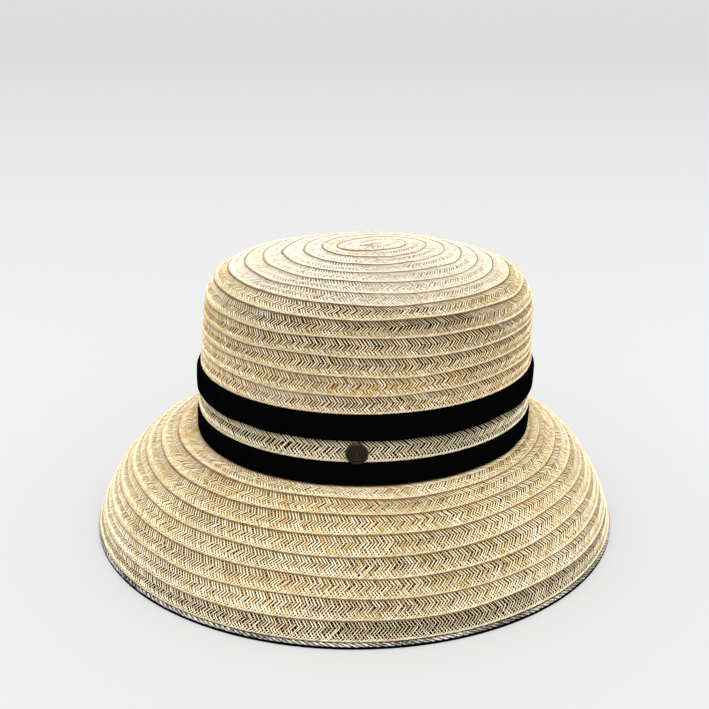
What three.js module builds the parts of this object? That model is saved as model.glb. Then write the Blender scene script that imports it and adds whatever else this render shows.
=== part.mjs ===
// A cloche hat sewn from straw braid, with two black ribbons round the crown.
// Millimetres, +Z up. The hat stands on its rim, with the origin on the ground
// under the middle of the rim. The wearer's front is towards -X, and the badge
// is on the wearer's left, towards -Y.
//
// Every round piece is a closed section turned on a lathe. A section is drawn
// in a plane of half-width (the oval's short half-axis, along Y) and height.
// toHat() then widens each circle to the head's oval and carries it to its place.

import * as THREE from 'three';
import { mergeVertices } from 'three/addons/utils/BufferGeometryUtils.js';

const DEG = Math.PI / 180;
const SEGMENTS = 56;

// The oval of the head, outside the crown at the brim seam.
const HEAD_HALF_WIDTH = 86;
const OVAL_EXTRA = 14.3;        // half-length less half-width
const OVAL_START = 8;           // half-width over which the tip's centre opens into the oval
const RIM_EXTRA = 2.8;          // further half-length that the brim gains by its rim
const CROWN_TURN = 4 * DEG;     // the crown's long axis, turned from the rim's
const CROWN_SHIFT = 5.3;        // crown seam's middle, behind the rim's middle, along +X
const CROWN_LEAN = 4.4;         // further shift of the tip, along +X
const TIP_SLANT = 0.028;        // fall of the tip towards +X, as a share of the distance

// The brim: a bell of two arcs, falling from the crown seam to the ground.
const BRIM_LENGTH = 91;
const BRIM_SLOPES = { seam: 10 * DEG, middle: 51 * DEG, rim: 77 * DEG };

// The crown above the ribbons: a straight side, a round shoulder and a low dome.
const CROWN_SET_IN = 1.2;       // its first straw row, inside the head's oval
const SIDE_LENGTH = 36.4;
const SIDE_SLOPE = 85.8 * DEG;
const SHOULDER_RADIUS = 22.8;
const DOME_SLOPE = 22 * DEG;

// Straw braid, sewn in rows. Each row's lower edge laps over the next row.
const STRAW_WALL = 1.6;
const ROW_STEP = 0.9;           // how far a row's lower edge stands proud
const ROWS = {
  side: { count: 5, pitch: 10.3 },
  tip: { count: 7, pitch: 9.9 },
  brim: { count: 8, pitch: 10.9 },
};

// Heights of the bands between the brim seam and the crown's first straw row.
const BANDS = { lowerRibbon: 14, braid: 13.2, upperRibbon: 14.7 };
const RIBBON_WALL = 1.2;
const RIBBON_PROUD = 1.5;       // how far a ribbon swells out past the head's oval
const RIBBON_SWELL = 3;         // height over which it swells out below its seam
const LAP = 2.1;                // how far a band's top is tucked under the band above
const GAP = 0.3;                // between pieces that touch

const SWEATBAND_WALL = 1;
const SWEATBAND_SET_IN = 2.5;   // its outer face, inside the head's oval
const SWEATBAND_TOP = 2;        // its top edge, below the upper ribbon's

const EDGE_RADIUS = 1.2;        // rolled straw edge of the brim
const EDGE_SIDES = 7;
const FACING_WALL = 1;
const FACING_HEIGHT = 12.5;
const FACING_FOOT = 0.9;        // thickness of the facing's foot under the rolled edge

// The badge, and its outline from the middle of its back to the middle of its face,
// as shares of its radius and its thickness: a raised rim, a sunk field and a boss.
const BADGE = { radius: 6.2, thickness: 1.6, segments: 24, bearing: -96 * DEG };
const BADGE_OUTLINE = [
  { out: 0, up: 0 },
  { out: 1, up: 0 },
  { out: 1, up: 0.75 },
  { out: 0.94, up: 1 },
  { out: 0.82, up: 1 },
  { out: 0.74, up: 0.6 },
  { out: 0.46, up: 0.6 },
  { out: 0.36, up: 0.9 },
  { out: 0, up: 1 },
];

const COLOURS = { straw: 0xccb489, edge: 0xd9cdb4, ribbon: 0x08080a, badge: 0x2e2a20 };

// --- Sections -------------------------------------------------------------------

// A chain of lines and arcs in the section plane. Each piece has a length and a
// slope below the horizontal at both ends. side is 1 where the chain runs outwards
// and down, and -1 where it runs inwards and up.
class Meridian {
  constructor(start, side, pieces) {
    this.side = side;
    this.pieces = [];
    let point = start.clone();
    let along = 0;
    for (const { length, from, to } of pieces) {
      const piece = { point, along, length, from, to };
      this.pieces.push(piece);
      along += length;
      point = this.pointOn(piece, length);
    }
    this.length = along;
    this.end = point;
  }

  pieceAt(s) {
    return this.pieces.findLast((piece) => s >= piece.along) ?? this.pieces[0];
  }

  slope(s) {
    const { along, length, from, to } = this.pieceAt(s);
    return from + (to - from) * (s - along) / length;
  }

  pointOn({ point, length, from, to }, s) {
    if (from === to) {
      return new THREE.Vector2(s * Math.cos(from), -s * Math.sin(from))
        .multiplyScalar(this.side).add(point);
    }
    const radius = length / (to - from);
    const slope = from + s / radius;
    const run = radius * (Math.sin(slope) - Math.sin(from));
    const fall = radius * (Math.cos(from) - Math.cos(slope));
    return new THREE.Vector2(run, -fall).multiplyScalar(this.side).add(point);
  }

  // The point at s along the chain, moved out of the hat by the distance out.
  at(s, out = 0) {
    const piece = this.pieceAt(s);
    const slope = this.slope(s);
    const normal = new THREE.Vector2(Math.sin(slope), Math.cos(slope));
    return this.pointOn(piece, s - piece.along).addScaledVector(normal, out);
  }
}

const brimFall = (length, from, to) => length * (Math.cos(from) - Math.cos(to)) / (to - from);
const BRIM_SEAM_Z = brimFall(BRIM_LENGTH / 2, BRIM_SLOPES.seam, BRIM_SLOPES.middle)
  + brimFall(BRIM_LENGTH / 2, BRIM_SLOPES.middle, BRIM_SLOPES.rim);
const LOWER_TOP_Z = BRIM_SEAM_Z + BANDS.lowerRibbon;
const BRAID_TOP_Z = LOWER_TOP_Z + BANDS.braid;
const UPPER_TOP_Z = BRAID_TOP_Z + BANDS.upperRibbon;

const brimLine = new Meridian(new THREE.Vector2(HEAD_HALF_WIDTH, BRIM_SEAM_Z), 1, [
  { length: BRIM_LENGTH / 2, from: BRIM_SLOPES.seam, to: BRIM_SLOPES.middle },
  { length: BRIM_LENGTH / 2, from: BRIM_SLOPES.middle, to: BRIM_SLOPES.rim },
]);
const RIM_HALF_WIDTH = brimLine.end.x;

const shoulderLength = SHOULDER_RADIUS * (SIDE_SLOPE - DOME_SLOPE);
const shoulderRun = SHOULDER_RADIUS * (Math.sin(SIDE_SLOPE) - Math.sin(DOME_SLOPE));
const crownFootHalfWidth = HEAD_HALF_WIDTH - CROWN_SET_IN;
const domeHalfWidth = crownFootHalfWidth - SIDE_LENGTH * Math.cos(SIDE_SLOPE) - shoulderRun;
const domeLength = domeHalfWidth / Math.sin(DOME_SLOPE) * DOME_SLOPE;
const crownLine = new Meridian(new THREE.Vector2(crownFootHalfWidth, UPPER_TOP_Z), -1, [
  { length: SIDE_LENGTH, from: SIDE_SLOPE, to: SIDE_SLOPE },
  { length: shoulderLength, from: SIDE_SLOPE, to: DOME_SLOPE },
  { length: domeLength, from: DOME_SLOPE, to: 0 },
]);
const TIP_Z = crownLine.end.y;

// The outer outline of lapped rows between the seams listed, upper edge last.
// Each row runs from its proud lower edge to its tucked upper edge.
function lappedRows(line, seams) {
  const STRONG_BEND = 12 * DEG;
  return seams.slice(1).flatMap((upper, i) => {
    const lower = seams[i];
    const middle = (lower + upper) / 2;
    const bend = Math.abs(line.slope(lower) - line.slope(upper));
    return [
      line.at(lower, ROW_STEP),
      ...(bend > STRONG_BEND ? [line.at(middle, ROW_STEP / 2)] : []),
      line.at(upper, 0),
    ];
  });
}

// A point at a height on the upright bands, measured out from the head's oval.
const band = (z, out) => new THREE.Vector2(HEAD_HALF_WIDTH + out, z);

// --- From the section plane to the hat -------------------------------------------

function toHat(halfWidth, angle, height) {
  const share = THREE.MathUtils.clamp(
    (halfWidth - HEAD_HALF_WIDTH) / (RIM_HALF_WIDTH - HEAD_HALF_WIDTH), 0, 1);
  const rise = THREE.MathUtils.clamp((height - BRIM_SEAM_Z) / (TIP_Z - BRIM_SEAM_Z), 0, 1);
  const extra = OVAL_EXTRA * (1 - Math.exp(-halfWidth / OVAL_START)) + RIM_EXTRA * share;
  const point = new THREE.Vector2(
    (halfWidth + extra) * Math.cos(angle), halfWidth * Math.sin(angle));
  point.rotateAround(new THREE.Vector2(), CROWN_TURN * (1 - share));
  point.x += CROWN_SHIFT * (1 - share) + CROWN_LEAN * rise;
  const above = THREE.MathUtils.clamp((height - UPPER_TOP_Z) / (TIP_Z - UPPER_TOP_Z), 0, 1);
  return new THREE.Vector3(point.x, point.y, height - TIP_SLANT * above * point.x);
}

// Turns a section into a closed body. Its points run anticlockwise, from the
// axis or round to their start.
function turned(section, segments = SEGMENTS) {
  const turn = new THREE.LatheGeometry(section, segments);
  turn.deleteAttribute('normal');
  turn.deleteAttribute('uv');
  return turn;
}

function hatRing(section) {
  const geometry = turned(section);
  const place = geometry.attributes.position;
  for (let i = 0; i < place.count; i++) {
    const halfWidth = Math.hypot(place.getX(i), place.getZ(i));
    const angle = Math.atan2(place.getX(i), place.getZ(i));
    const point = toHat(halfWidth, angle, place.getY(i));
    place.setXYZ(i, point.x, point.y, point.z);
  }
  return mergeVertices(geometry, 1e-3);
}

const closed = (points) => [...points, points[0].clone()];

function piece(name, geometry, color, roughness, metalness = 0) {
  const material = new THREE.MeshStandardMaterial({ color, roughness, metalness });
  const mesh = new THREE.Mesh(geometry, material);
  mesh.name = name;
  return mesh;
}

// --- The pieces -------------------------------------------------------------------

// Tip and side in one straw shell, open below. Its last row laps over the ribbon.
function crown() {
  const { side, tip } = ROWS;
  const edge = side.count * side.pitch;
  const seams = [
    ...Array.from({ length: side.count }, (_, i) => i * side.pitch),
    ...Array.from({ length: tip.count + 1 }, (_, i) => edge + i * tip.pitch),
  ];
  const outer = lappedRows(crownLine, seams);
  const centre = [
    crownLine.at(seams.at(-1), ROW_STEP),
    new THREE.Vector2(0, TIP_Z + ROW_STEP / 2),
  ];
  const INNER_STEPS = 8;
  const innerStart = 2 * LAP;
  const inner = Array.from({ length: INNER_STEPS }, (_, i) => {
    const s = innerStart + (crownLine.length - innerStart) * i / INNER_STEPS;
    return crownLine.at(s, -STRAW_WALL);
  });
  const lapInside = ROW_STEP - STRAW_WALL;
  const section = [
    new THREE.Vector2(0, TIP_Z - STRAW_WALL),
    ...inner.reverse(),
    crownLine.at(LAP + GAP, lapInside),
    crownLine.at(0, lapInside),
    ...outer,
    ...centre,
  ];
  return piece('crown', hatRing(section), COLOURS.straw, 0.85);
}

// A ribbon that comes out from under the band above and swells past the oval.
function ribbon(name, bottom, top, tuck) {
  const section = closed([
    band(bottom, RIBBON_PROUD - RIBBON_WALL),
    band(bottom, RIBBON_PROUD),
    band(top - RIBBON_SWELL, RIBBON_PROUD),
    band(top - 2 * GAP, tuck),
    band(top + LAP, tuck),
    band(top + LAP, tuck - RIBBON_WALL),
    band(top - 4 * GAP, tuck - RIBBON_WALL),
    band(top - RIBBON_SWELL - GAP, RIBBON_PROUD - RIBBON_WALL),
  ]);
  return piece(name, hatRing(section), COLOURS.ribbon, 0.9);
}

// One straw row between the ribbons: tucked in above, proud below.
function middleBraid() {
  const tucked = RIBBON_PROUD - RIBBON_WALL - GAP;
  const section = closed([
    band(LOWER_TOP_Z, ROW_STEP + GAP - STRAW_WALL),
    band(LOWER_TOP_Z, ROW_STEP + GAP),
    band(BRAID_TOP_Z - GAP, tucked),
    band(BRAID_TOP_Z + LAP, tucked),
    band(BRAID_TOP_Z + LAP, tucked - STRAW_WALL),
    band(BRAID_TOP_Z - GAP, tucked - STRAW_WALL),
  ]);
  return piece('middle_braid', hatRing(section), COLOURS.straw, 0.85);
}

// The bell of straw rows, from under the lower ribbon to the rolled edge.
function brim() {
  const { count, pitch } = ROWS.brim;
  const lowest = BRIM_LENGTH - FACING_FOOT - GAP - 2 * EDGE_RADIUS;
  const seams = Array.from({ length: count }, (_, i) => lowest - i * pitch);
  const outer = lappedRows(brimLine, [...seams, GAP]);
  const INNER_STEPS = 6;
  const inner = Array.from({ length: INNER_STEPS + 1 }, (_, i) =>
    brimLine.at(lowest * i / INNER_STEPS, -STRAW_WALL));
  const tucked = RIBBON_PROUD - RIBBON_WALL - GAP;
  const section = closed([
    band(BRIM_SEAM_Z + LAP, tucked),
    band(BRIM_SEAM_Z + LAP, tucked - STRAW_WALL),
    ...inner,
    ...outer,
  ]);
  return piece('brim', hatRing(section), COLOURS.straw, 0.85);
}

// The pale rolled edge of the last row.
function brimEdge() {
  const centre = brimLine.at(BRIM_LENGTH - FACING_FOOT - GAP - EDGE_RADIUS, 0);
  const section = Array.from({ length: EDGE_SIDES }, (_, i) => {
    const angle = (i + 0.5) * 2 * Math.PI / EDGE_SIDES;
    return new THREE.Vector2(Math.cos(angle), Math.sin(angle))
      .multiplyScalar(EDGE_RADIUS - GAP / 2).add(centre);
  });
  return piece('brim_edge', hatRing(closed(section)), COLOURS.edge, 0.7);
}

// Black ribbon inside the rim, with a foot under the rolled edge that the hat rests on.
function underBrimRibbon() {
  const outside = -STRAW_WALL - GAP;
  const inside = outside - FACING_WALL;
  const top = BRIM_LENGTH - FACING_HEIGHT;
  const ankle = BRIM_LENGTH - 3 * FACING_FOOT;
  const ground = (out) => new THREE.Vector2(RIM_HALF_WIDTH + out, 0);
  const section = closed([
    brimLine.at(top, inside),
    brimLine.at(ankle, inside),
    ground(inside),
    ground(EDGE_RADIUS / 2),
    ground(EDGE_RADIUS / 2).add(new THREE.Vector2(0, FACING_FOOT)),
    ground(outside).add(new THREE.Vector2(0, FACING_FOOT)),
    brimLine.at(ankle, outside),
    brimLine.at(top, outside),
  ]);
  return piece('under_brim_ribbon', hatRing(section), COLOURS.ribbon, 0.9);
}

// Black band inside the head opening, behind the ribbons and the braid.
function sweatband() {
  const outside = -SWEATBAND_SET_IN;
  const inside = outside - SWEATBAND_WALL;
  const top = UPPER_TOP_Z - SWEATBAND_TOP;
  const section = closed([
    band(BRIM_SEAM_Z, inside),
    band(BRIM_SEAM_Z, outside),
    band(top, outside),
    band(top, inside),
  ]);
  return piece('sweatband', hatRing(section), COLOURS.ribbon, 0.9);
}

// A small round metal badge with plain rings, on the braid between the ribbons.
function badge() {
  const { radius, thickness, segments } = BADGE;
  const section = BADGE_OUTLINE.map(({ out, up }) =>
    new THREE.Vector2(out * radius, up * thickness));
  const geometry = mergeVertices(turned(section, segments), 1e-3);
  const disc = piece('badge', geometry, COLOURS.badge, 0.4, 0.8);
  const back = HEAD_HALF_WIDTH + ROW_STEP + 2 * GAP;
  disc.position.copy(toHat(back, BADGE.bearing, (LOWER_TOP_Z + BRAID_TOP_Z) / 2));
  disc.rotation.x = Math.PI;
  return disc;
}

const hat = new THREE.Group();
hat.name = 'cloche_hat';
const underRow = ROW_STEP - STRAW_WALL - GAP;  // just behind a straw row's proud lower edge
hat.add(
  crown(),
  ribbon('upper_ribbon', BRAID_TOP_Z, UPPER_TOP_Z, underRow - CROWN_SET_IN),
  middleBraid(),
  ribbon('lower_ribbon', BRIM_SEAM_Z + GAP, LOWER_TOP_Z, underRow),
  brim(),
  brimEdge(),
  underBrimRibbon(),
  sweatband(),
  badge(),
);

export default hat;
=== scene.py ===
# The cloche hat: straw braid sewn round in lapped rows, black ribbons, a small badge.
# Metres, +Z up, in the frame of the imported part. The hat's front is towards -X, and
# the badge is on the wearer's left, towards -Y, where the camera stands.
#
# Every straw of the braid is modelled. One straw of each kind is drawn flat, as it would
# lie on a table. Copies are laid along the spiral in which the braid is sewn, bent to the
# form of the hat and joined to one mesh for each row.

import math

import bpy
import numpy as np
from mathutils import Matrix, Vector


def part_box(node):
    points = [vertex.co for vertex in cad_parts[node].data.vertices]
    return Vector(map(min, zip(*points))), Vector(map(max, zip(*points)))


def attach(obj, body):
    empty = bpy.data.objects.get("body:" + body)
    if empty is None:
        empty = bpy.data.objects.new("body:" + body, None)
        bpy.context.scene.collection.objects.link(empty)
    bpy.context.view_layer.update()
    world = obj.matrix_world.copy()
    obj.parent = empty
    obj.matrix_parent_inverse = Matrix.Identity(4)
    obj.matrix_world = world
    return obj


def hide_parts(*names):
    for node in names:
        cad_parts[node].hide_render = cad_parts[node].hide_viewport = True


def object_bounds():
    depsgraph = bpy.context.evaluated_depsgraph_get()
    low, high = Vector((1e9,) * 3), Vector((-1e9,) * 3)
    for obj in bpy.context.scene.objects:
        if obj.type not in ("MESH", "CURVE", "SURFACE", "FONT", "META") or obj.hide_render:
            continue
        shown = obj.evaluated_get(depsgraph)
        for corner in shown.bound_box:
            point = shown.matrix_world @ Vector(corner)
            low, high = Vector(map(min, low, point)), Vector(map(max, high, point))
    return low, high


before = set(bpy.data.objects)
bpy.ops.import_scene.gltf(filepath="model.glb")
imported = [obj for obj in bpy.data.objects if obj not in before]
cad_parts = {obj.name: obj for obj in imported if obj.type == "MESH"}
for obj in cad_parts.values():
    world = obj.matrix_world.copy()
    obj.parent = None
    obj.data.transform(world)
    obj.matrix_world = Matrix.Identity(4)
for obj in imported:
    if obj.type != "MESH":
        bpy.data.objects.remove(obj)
cad_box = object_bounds()

MM = 0.001
TURN = 2 * math.pi

# --- The form of the hat, the same as in the part's source but for the tip's turns ------

HEAD_HALF_WIDTH = 86 * MM
OVAL_EXTRA = 14.3 * MM
OVAL_START = 4 * MM             # half the source's: the tip's innermost turn is a long hook
RIM_EXTRA = 2.8 * MM
CROWN_TURN = math.radians(4)
CROWN_SHIFT = 5.3 * MM
CROWN_LEAN = 4.4 * MM
TIP_SLANT = 0.028
# The tip's innermost turns lie askew, the middle one most of all: angle, and how far it
# reaches. These and the next two lines have no like in the source.
TIP_TWISTS = [(math.radians(15), 45 * MM), (math.radians(14), 10 * MM)]
TIP_NARROW, TIP_SHIFT, TIP_SPREAD = 4 * MM, 3.2 * MM, 22 * MM   # those round it are narrower
TIP_STEP = 0.25 * MM            # and the tip's rows are nearly flat

BRIM_LENGTH = 91 * MM
BRIM_SLOPES = [math.radians(slope) for slope in (10, 51, 77)]
CROWN_SET_IN = 1.2 * MM
SIDE_LENGTH = 36.4 * MM
SIDE_SLOPE = math.radians(85.8)
SHOULDER_RADIUS = 22.8 * MM
DOME_SLOPE = math.radians(22)
ROW_STEP = 0.9 * MM             # how far a row's lower edge stands proud
SIDE_ROWS, SIDE_PITCH = 5, 10.3 * MM
TIP_PITCH = 9.9 * MM
BRIM_ROWS, BRIM_PITCH = 8, 10.9 * MM
RIBBON_WALL = 1.2 * MM
RIBBON_PROUD = 1.5 * MM
RIBBON_SWELL = 3 * MM
LAP = 2.1 * MM
GAP = 0.3 * MM
STRAW_WALL = 1.6 * MM
SWEATBAND_SET_IN = 2.5 * MM
SWEATBAND_WALL = 1 * MM
EDGE_RADIUS = 1.2 * MM
FACING_WALL = 1 * MM
FACING_HEIGHT = 12.5 * MM
FACING_FOOT = 0.9 * MM

LOWER_RIBBON, MIDDLE_ROW, UPPER_RIBBON = 14 * MM, 13.2 * MM, 14.7 * MM      # heights
BRIM_SEAM_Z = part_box("sweatband")[0].z
LOWER_TOP_Z = BRIM_SEAM_Z + LOWER_RIBBON
BRAID_TOP_Z = LOWER_TOP_Z + MIDDLE_ROW
UPPER_TOP_Z = BRAID_TOP_Z + UPPER_RIBBON


class Meridian:
    """A chain of lines and arcs in the plane of half-width and height, with a length and
    the slopes below the horizontal at both ends of each. side is 1 where the chain runs
    outwards and down, and -1 where it runs inwards and up."""

    def __init__(self, start, side, pieces):
        self.side = side
        self.lengths, self.slopes, ends = np.array(pieces).T
        self.bends = (ends - self.slopes) / self.lengths
        self.along = np.concatenate([[0], np.cumsum(self.lengths)[:-1]])
        self.length = self.lengths.sum()
        self.points = [np.array(start, float)]
        for i, length in enumerate(self.lengths):
            self.points.append(self.points[i] + self.chord(i, length))
        self.points = np.array(self.points)

    def chord(self, i, distance):
        half = self.bends[i] * distance / 2
        reach = self.side * distance * np.sinc(half / math.pi)
        slope = self.slopes[i] + half
        return np.stack([reach * np.cos(slope), -reach * np.sin(slope)], -1)

    def at(self, s, out):
        """Half-width and height at s along the chain, moved out of the hat by out."""
        s = np.asarray(s, float)
        i = np.clip(np.searchsorted(self.along, s, side="right") - 1, 0, len(self.along) - 1)
        distance = s - self.along[i]
        slope = self.slopes[i] + self.bends[i] * distance
        point = self.points[i] + self.chord(i, distance)
        return point[..., 0] + out * np.sin(slope), point[..., 1] + out * np.cos(slope)


half_brim = BRIM_LENGTH / 2
brim_line = Meridian((HEAD_HALF_WIDTH, BRIM_SEAM_Z), 1, [
    (half_brim, BRIM_SLOPES[0], BRIM_SLOPES[1]),
    (half_brim, BRIM_SLOPES[1], BRIM_SLOPES[2]),
])
RIM_HALF_WIDTH = brim_line.points[-1][0]

shoulder_run = SHOULDER_RADIUS * (math.sin(SIDE_SLOPE) - math.sin(DOME_SLOPE))
crown_foot = HEAD_HALF_WIDTH - CROWN_SET_IN
dome_half_width = crown_foot - SIDE_LENGTH * math.cos(SIDE_SLOPE) - shoulder_run
crown_line = Meridian((crown_foot, UPPER_TOP_Z), -1, [
    (SIDE_LENGTH, SIDE_SLOPE, SIDE_SLOPE),
    (SHOULDER_RADIUS * (SIDE_SLOPE - DOME_SLOPE), SIDE_SLOPE, DOME_SLOPE),
    (dome_half_width / math.sin(DOME_SLOPE) * DOME_SLOPE, DOME_SLOPE, 0),
])
TIP_Z = crown_line.points[-1][1]
band_line = Meridian((HEAD_HALF_WIDTH, LOWER_TOP_Z), -1, [
    (BRAID_TOP_Z + LAP - LOWER_TOP_Z, math.pi / 2, math.pi / 2),
])


def to_hat(half_width, angle, height):
    """Widens circles to the head's oval and carries them to their place on the hat."""
    share = np.clip((half_width - HEAD_HALF_WIDTH) / (RIM_HALF_WIDTH - HEAD_HALF_WIDTH), 0, 1)
    rise = np.clip((height - BRIM_SEAM_Z) / (TIP_Z - BRIM_SEAM_Z), 0, 1)
    above = np.clip((height - UPPER_TOP_Z) / (TIP_Z - UPPER_TOP_Z), 0, 1)
    inner = (half_width / TIP_SPREAD) ** 2 * np.exp(2 * (1 - half_width / TIP_SPREAD))
    extra = (OVAL_EXTRA * (1 - np.exp(-half_width / OVAL_START)) + RIM_EXTRA * share
             - TIP_NARROW * inner)
    long, wide = (half_width + extra) * np.cos(angle), half_width * np.sin(angle)
    askew = sum(twist * np.exp(-(half_width / reach) ** 2) for twist, reach in TIP_TWISTS)
    turn = CROWN_TURN * (1 - share) + askew * (above > 0)
    x = (long * np.cos(turn) - wide * np.sin(turn) + CROWN_SHIFT * (1 - share)
         + CROWN_LEAN * rise + TIP_SHIFT * inner)
    y = long * np.sin(turn) + wide * np.cos(turn)
    return np.stack([x, y, height - TIP_SLANT * above * x], -1)


# --- Finishes ----------------------------------------------------------------------------

def new_group(name, inputs, outputs):
    group = bpy.data.node_groups.new(name, "ShaderNodeTree")
    for kind, label, value in inputs:
        socket = group.interface.new_socket(label, in_out="INPUT", socket_type=kind)
        socket.default_value = value
    for kind, label in outputs:
        group.interface.new_socket(label, in_out="OUTPUT", socket_type=kind)
    return group


def node(tree, kind, **settings):
    made = tree.nodes.new(kind)
    for name, value in settings.items():
        setattr(made, name, value)
    return made


def new_material(name):
    made = bpy.data.materials.new(name)
    made.use_nodes = True
    return made, made.node_tree, made.node_tree.nodes["Principled BSDF"]


def add_bump(tree, shader, height, strength, distance):
    bump = node(tree, "ShaderNodeBump")
    bump.inputs["Strength"].default_value = strength
    bump.inputs["Distance"].default_value = distance
    tree.links.new(height, bump.inputs["Height"])
    tree.links.new(bump.outputs["Normal"], shader.inputs["Normal"])


def math_node(tree, operation, first, second):
    made = node(tree, "ShaderNodeMath", operation=operation)
    for socket, value in zip(made.inputs, (first, second)):
        if isinstance(value, (int, float)):
            socket.default_value = value
        else:
            tree.links.new(value, socket)
    return made.outputs[0]


def blend_colours(tree, factor, first, second, mode="MIX"):
    made = node(tree, "ShaderNodeMix", data_type="RGBA", blend_type=mode)
    for socket, value in zip((made.inputs[0], made.inputs[6], made.inputs[7]),
                             (factor, first, second)):
        if isinstance(value, (int, float, tuple)):
            socket.default_value = value
        else:
            tree.links.new(value, socket)
    return made.outputs[2]


FIBRE_SCALE = (260, 5200, 1)    # fibres run along a straw
TONE_JUMP = 53.0                # moves the fibres of straws of different tones apart


def straw_fibre_group():
    """Colour and grain of one straw: its own tone, streaks along it, and the painted shade on its
    sides and where it lies under other straws.
    """
    group = new_group("straw fibre", [
        ("NodeSocketColor", "Pale", (1, 1, 1, 1)),
        ("NodeSocketColor", "Deep", (0.5, 0.4, 0.2, 1)),
        ("NodeSocketColor", "Painted shade", (0.1, 0.06, 0.02, 1)),
        ("NodeSocketFloat", "Streaks", 0.3),
    ], [("NodeSocketColor", "Color"), ("NodeSocketFloat", "Grain")])
    inside, outside = node(group, "NodeGroupInput"), node(group, "NodeGroupOutput")
    tone = node(group, "ShaderNodeAttribute", attribute_name="tone").outputs["Fac"]
    painted_shade = node(group, "ShaderNodeAttribute", attribute_name="painted_shade").outputs["Fac"]
    place = node(group, "ShaderNodeUVMap", uv_map="straw").outputs["UV"]
    lift = node(group, "ShaderNodeCombineXYZ")
    group.links.new(math_node(group, "MULTIPLY", tone, TONE_JUMP), lift.inputs["Z"])
    moved = node(group, "ShaderNodeVectorMath", operation="ADD")
    group.links.new(place, moved.inputs[0])
    group.links.new(lift.outputs[0], moved.inputs[1])
    stretch = node(group, "ShaderNodeMapping")
    stretch.inputs["Scale"].default_value = FIBRE_SCALE
    group.links.new(moved.outputs[0], stretch.inputs["Vector"])
    fibres = node(group, "ShaderNodeTexNoise")
    fibres.inputs["Scale"].default_value = 1
    fibres.inputs["Detail"].default_value = 3
    group.links.new(stretch.outputs[0], fibres.inputs["Vector"])
    streak = math_node(group, "SUBTRACT", fibres.outputs["Fac"], 0.5)
    share = math_node(group, "MULTIPLY_ADD", streak, inside.outputs["Streaks"])
    group.links.new(tone, share.node.inputs[2])
    colour = blend_colours(group, share, inside.outputs["Pale"], inside.outputs["Deep"])
    shaded = blend_colours(group, painted_shade, colour, inside.outputs["Painted shade"])
    group.links.new(shaded, outside.inputs["Color"])
    group.links.new(fibres.outputs["Fac"], outside.inputs["Grain"])
    return group


def woven_ribs_group():
    """Fine ribs across a ribbon, crossed by its threads."""
    group = new_group("woven ribs", [
        ("NodeSocketColor", "Thread", (0.01, 0.01, 0.01, 1)),
        ("NodeSocketColor", "Worn", (0.03, 0.03, 0.03, 1)),
        ("NodeSocketFloat", "Rib", 0.5 * MM),
    ], [("NodeSocketColor", "Color"), ("NodeSocketFloat", "Height")])
    inside, outside = node(group, "NodeGroupInput"), node(group, "NodeGroupOutput")
    place = node(group, "ShaderNodeUVMap", uv_map="cloth").outputs["UV"]
    split = node(group, "ShaderNodeSeparateXYZ")
    group.links.new(place, split.inputs[0])

    def wave(along, share):
        count = math_node(group, "DIVIDE", along, inside.outputs["Rib"])
        turn = math_node(group, "MULTIPLY", count, TURN * share)
        return math_node(group, "SINE", turn, 0.0)

    ribs = wave(split.outputs["X"], 1.0)
    threads = wave(split.outputs["Y"], 2.0)
    weave = math_node(group, "MULTIPLY", ribs, threads)
    height = math_node(group, "MULTIPLY_ADD", weave, 0.25)
    group.links.new(ribs, height.node.inputs[2])
    patches = node(group, "ShaderNodeTexNoise")
    patches.inputs["Scale"].default_value = 60
    group.links.new(node(group, "ShaderNodeTexCoord").outputs["Object"], patches.inputs["Vector"])
    colour = blend_colours(group, patches.outputs["Fac"],
                           inside.outputs["Thread"], inside.outputs["Worn"])
    group.links.new(colour, outside.inputs["Color"])
    group.links.new(height, outside.inputs["Height"])
    return group


def finish_with(name, group, values, height, roughness, specular, strength, distance):
    """A material whose colour and relief come from a group."""
    made, tree, shader = new_material(name)
    effect = node(tree, "ShaderNodeGroup", node_tree=group)
    for label, value in values.items():
        effect.inputs[label].default_value = value
    tree.links.new(effect.outputs["Color"], shader.inputs["Base Color"])
    add_bump(tree, shader, effect.outputs[height], strength, distance)
    shader.inputs["Roughness"].default_value = roughness
    shader.inputs["Specular IOR Level"].default_value = specular
    return made


def straw_finish(name, pale, deep, painted_shade, streaks=0.5):
    values = {"Pale": (*pale, 1), "Deep": (*deep, 1), "Painted shade": (*painted_shade, 1),
              "Streaks": streaks}
    return finish_with(name, straw_fibre, values, "Grain", roughness=0.55, specular=0.25,
                       strength=0.4, distance=0.05 * MM)


def ribbon_finish(name):
    values = {"Thread": (0.0005, 0.0005, 0.0007, 1), "Worn": (0.0014, 0.0014, 0.0018, 1)}
    return finish_with(name, woven_ribs, values, "Height", roughness=1.0, specular=0.0,
                       strength=0.5, distance=0.12 * MM)


def bronze_finish(name, light, dark):
    made, tree, shader = new_material(name)
    place = node(tree, "ShaderNodeTexCoord").outputs["Object"]
    mottle = node(tree, "ShaderNodeTexNoise")
    mottle.inputs["Scale"].default_value = 900
    mottle.inputs["Detail"].default_value = 5
    tree.links.new(place, mottle.inputs["Vector"])
    colour = blend_colours(tree, mottle.outputs["Fac"], (*light, 1), (*dark, 1))
    tree.links.new(colour, shader.inputs["Base Color"])
    add_bump(tree, shader, mottle.outputs["Fac"], strength=0.3, distance=0.1 * MM)
    shader.inputs["Metallic"].default_value = 0.7
    shader.inputs["Roughness"].default_value = 0.4
    return made


# --- Camera, light and floor -----------------------------------------------------------

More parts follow.
